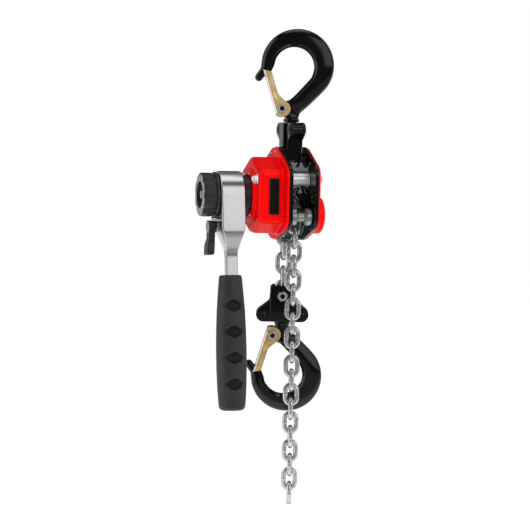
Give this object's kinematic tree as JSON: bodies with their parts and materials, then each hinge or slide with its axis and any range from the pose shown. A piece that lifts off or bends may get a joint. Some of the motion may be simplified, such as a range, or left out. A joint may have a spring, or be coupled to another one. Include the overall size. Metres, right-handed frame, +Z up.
{
  "type": "lever chain hoist",
  "caption": "Hand lever chain hoist hanging from a latched swivel hook, with a ratchet lever, housing, chain sheave and a lower latched hook on the load chain.",
  "frame": {"origin": "seat of the top hook, where the support carries it, on the hoist's hanging line", "axes": "+Z up, +X along the drive shaft from the handwheel to the right cover, -Y towards the side the slack chain hangs on"},
  "size_m": [0.1123, 0.086, 0.399],
  "materials": {
    "red_paint": "gloss",
    "black_paint": "gloss",
    "brushed_steel": "satin",
    "zinc_steel": "bright zinc plate",
    "dark_steel": "oiled",
    "yellow_zinc": "yellow passivated",
    "black_rubber": "matte",
    "black_plastic": "fine texture",
    "bronze": "turned",
    "friction_lining": "matte",
    "spring_steel": "bright"
  },
  "bodies": {
    "top_hook": {"top_hook": "black_paint", "top_latch_rivet": "zinc_steel"},
    "top_latch": {"top_latch": "yellow_zinc"},
    "top_yoke": {"top_yoke_left": "black_paint", "top_yoke_right": "black_paint", "top_yoke_rivet_front": "black_paint", "top_yoke_rivet_back": "black_paint"},
    "frame": {"left_plate": "black_paint", "right_plate": "black_paint", "brake_cover": "red_paint", "right_cover": "red_paint", "name_label": "black_plastic", "inner_plate": "dark_steel", "suspension_pin": "zinc_steel", "stay_bolt_front": "zinc_steel", "stay_bolt_back": "zinc_steel", "stay_sleeve_front": "dark_steel", "stay_sleeve_back": "dark_steel", "chain_guide": "black_paint", "chain_stripper": "dark_steel", "sheave_bush_left": "bronze", "sheave_bush_right": "bronze", "drive_bush": "bronze", "pawl_pin_upper": "zinc_steel", "pawl_pin_lower": "zinc_steel", "pawl_spring_upper": "spring_steel", "pawl_spring_lower": "spring_steel", "chain_tail": "zinc_steel", "chain_wrap": "zinc_steel", "chain_load": "zinc_steel"},
    "lever": {"lever_arm": "brushed_steel", "lever_back_shell": "brushed_steel", "grip": "black_rubber", "detent_spring": "spring_steel"},
    "selector": {"selector_knob": "black_plastic", "change_pawl": "dark_steel"},
    "detent": {"detent_plunger": "zinc_steel"},
    "sheave": {"load_sheave": "dark_steel", "load_gear": "dark_steel"},
    "drive": {"drive_shaft": "dark_steel", "friction_hub": "dark_steel", "brake_hub": "black_plastic", "handwheel": "black_plastic", "handwheel_nut": "zinc_steel"},
    "brake_disc": {"friction_disc_inner": "friction_lining", "ratchet_disc": "dark_steel", "friction_disc_outer": "friction_lining"},
    "pawl_upper": {"brake_pawl_upper": "dark_steel"},
    "pawl_lower": {"brake_pawl_lower": "dark_steel"},
    "roller_front": {"guide_roller_front": "dark_steel"},
    "roller_back": {"guide_roller_back": "dark_steel"},
    "load_block": {"load_block_front": "black_paint", "load_block_back": "black_paint", "load_block_rivet_left": "black_paint", "load_block_rivet_right": "black_paint", "chain_pin": "zinc_steel"},
    "load_hook": {"load_hook": "black_paint", "load_latch_rivet": "zinc_steel"},
    "load_latch": {"load_latch": "yellow_zinc"}
  },
  "joints": [
    {"name": "top_latch_pivot", "type": "hinge", "parent": "top_hook", "child": "top_latch", "pos_m": [-0.00761, 0.00211, -0.0512], "axis": [0.2672, 0.9636, 0], "range_deg": [0, 36], "stiffness_Nm_per_rad": 0.02, "springref_deg": -34.38},
    {"name": "top_hook_swivel", "type": "hinge", "parent": "top_hook", "child": "top_yoke", "pos_m": [0, 0, -0.0627], "axis": [0, 0, 1], "continuous": true},
    {"name": "body_tilt", "type": "hinge", "parent": "top_yoke", "child": "frame", "pos_m": [0, 0, -0.092], "axis": [1, 0, 0], "range_deg": [-35, 35]},
    {"name": "lever_swing", "type": "hinge", "parent": "frame", "child": "lever", "pos_m": [0, 0, -0.1235], "axis": [1, 0, 0], "continuous": true},
    {"name": "selector_turn", "type": "hinge", "parent": "lever", "child": "selector", "pos_m": [-0.053, -0.00323, -0.1498], "axis": [1, 0, 0], "range_deg": [-20, 20]},
    {"name": "detent_slide", "type": "slide", "parent": "lever", "child": "detent", "axis": [0, -0.454, -0.891], "range_m": [0, 0.0009], "stiffness_N_per_m": 200, "springref_m": -0.002},
    {"name": "sheave_spin", "type": "hinge", "parent": "frame", "child": "sheave", "pos_m": [0, 0, -0.14], "axis": [1, 0, 0], "continuous": true},
    {"name": "drive_spin", "type": "hinge", "parent": "frame", "child": "drive", "pos_m": [0, 0, -0.1235], "axis": [1, 0, 0], "continuous": true},
    {"name": "brake_disc_spin", "type": "hinge", "parent": "frame", "child": "brake_disc", "pos_m": [0, 0, -0.1235], "axis": [1, 0, 0], "continuous": true},
    {"name": "upper_pawl_pivot", "type": "hinge", "parent": "frame", "child": "pawl_upper", "pos_m": [-0.0275, -0.009, -0.1003], "axis": [1, 0, 0], "range_deg": [0, 15], "stiffness_Nm_per_rad": 0.01, "springref_deg": -28.65},
    {"name": "lower_pawl_pivot", "type": "hinge", "parent": "frame", "child": "pawl_lower", "pos_m": [-0.0275, 0.009, -0.1467], "axis": [1, 0, 0], "range_deg": [0, 15], "stiffness_Nm_per_rad": 0.01, "springref_deg": -28.65},
    {"name": "front_roller_spin", "type": "hinge", "parent": "frame", "child": "roller_front", "pos_m": [0, -0.0315, -0.14], "axis": [1, 0, 0], "continuous": true},
    {"name": "back_roller_spin", "type": "hinge", "parent": "frame", "child": "roller_back", "pos_m": [0, 0.0315, -0.14], "axis": [1, 0, 0], "continuous": true},
    {"name": "load_block_swing", "type": "hinge", "parent": "frame", "child": "load_block", "pos_m": [0, 0.01568, -0.2097], "axis": [0.2672, 0.9636, 0], "range_deg": [-25, 25]},
    {"name": "load_hook_swivel", "type": "hinge", "parent": "load_block", "child": "load_hook", "pos_m": [0, 0.01568, -0.232], "axis": [0, 0, 1], "range_deg": [-50, 80]},
    {"name": "load_latch_pivot", "type": "hinge", "parent": "load_hook", "child": "load_latch", "pos_m": [-0.00761, 0.01779, -0.2435], "axis": [-0.2672, -0.9636, 0], "range_deg": [0, 36], "stiffness_Nm_per_rad": 0.02, "springref_deg": -34.38}
  ],
  "couplings": [
    {"joint": "drive_spin", "follows": "sheave_spin", "ratio": -2}
  ]
}
